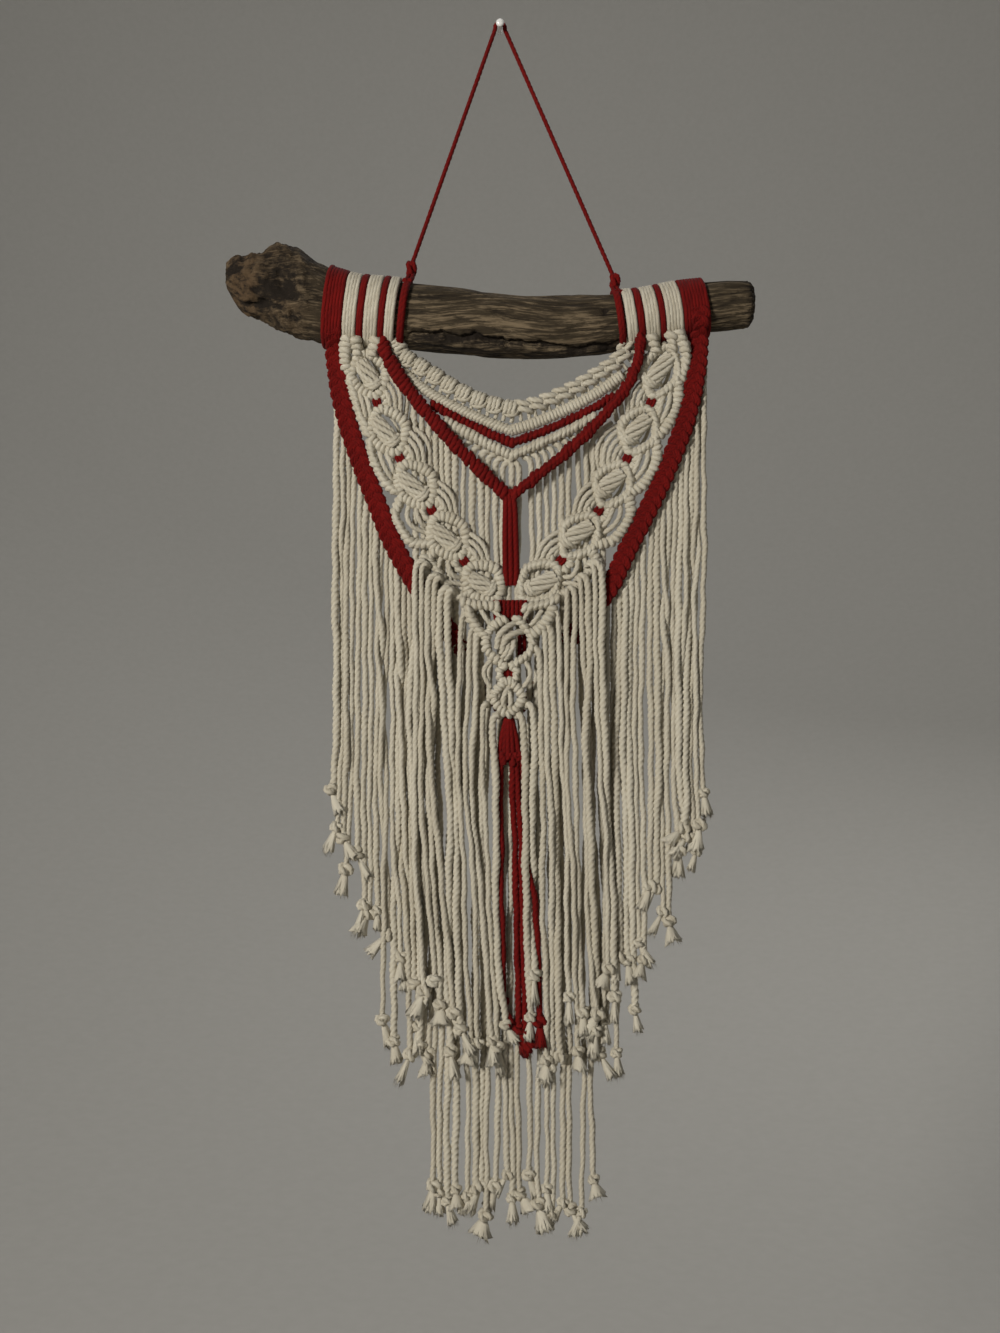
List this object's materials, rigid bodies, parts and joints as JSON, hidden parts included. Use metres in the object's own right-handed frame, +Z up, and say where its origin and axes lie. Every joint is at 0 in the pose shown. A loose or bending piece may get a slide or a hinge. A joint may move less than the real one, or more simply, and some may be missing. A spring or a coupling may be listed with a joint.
{
  "type": "macrame wall hanging on a driftwood rod",
  "caption": "Knotted cotton wall hanging with red edging, chevrons and a long stepped fringe, hung from a driftwood rod by a cord over a wall pin.",
  "frame": {"origin": "centre of the pin's end, where it meets the wall", "axes": "+X to the right along the rod, +Y into the wall, +Z up"},
  "size_m": [0.2865, 0.0443, 0.6673],
  "materials": {
    "driftwood": "weathered grey-brown driftwood, bare, with open grain and cracks",
    "cotton_white": "undyed single-twist cotton cord, matt, with frayed ends",
    "cotton_red": "deep red cotton cord, matt",
    "pin_paint": "small white painted pin head, glossy"
  },
  "bodies": {
    "root": {"driftwood_rod": "driftwood", "wall_pin": "pin_paint", "hanger_cord": "cotton_red", "hanger_tie_left": "cotton_red", "hanger_tie_right": "cotton_red", "band_left_1": "cotton_red", "band_left_2": "cotton_white", "band_left_3": "cotton_red", "band_left_4": "cotton_white", "band_left_5": "cotton_red", "band_left_6": "cotton_white", "band_right_1": "cotton_red", "band_right_2": "cotton_white", "band_right_3": "cotton_red", "band_right_4": "cotton_white", "band_right_5": "cotton_red", "band_right_6": "cotton_white", "edging_left": "cotton_red", "edging_right": "cotton_red", "inner_v": "cotton_red", "chevron_red": "cotton_red", "tassel_head": "cotton_red", "tassel_tail": "cotton_red", "wing_left": "cotton_white", "wing_right": "cotton_white", "drop": "cotton_white", "neckline_knots": "cotton_white", "neckline_rib": "cotton_white", "chevron_white": "cotton_white", "fringe_outer_left": "cotton_white", "fringe_outer_right": "cotton_white", "fringe_front_left": "cotton_white", "fringe_front_right": "cotton_white", "fringe_curtain": "cotton_white"}
  },
  "joints": []
}
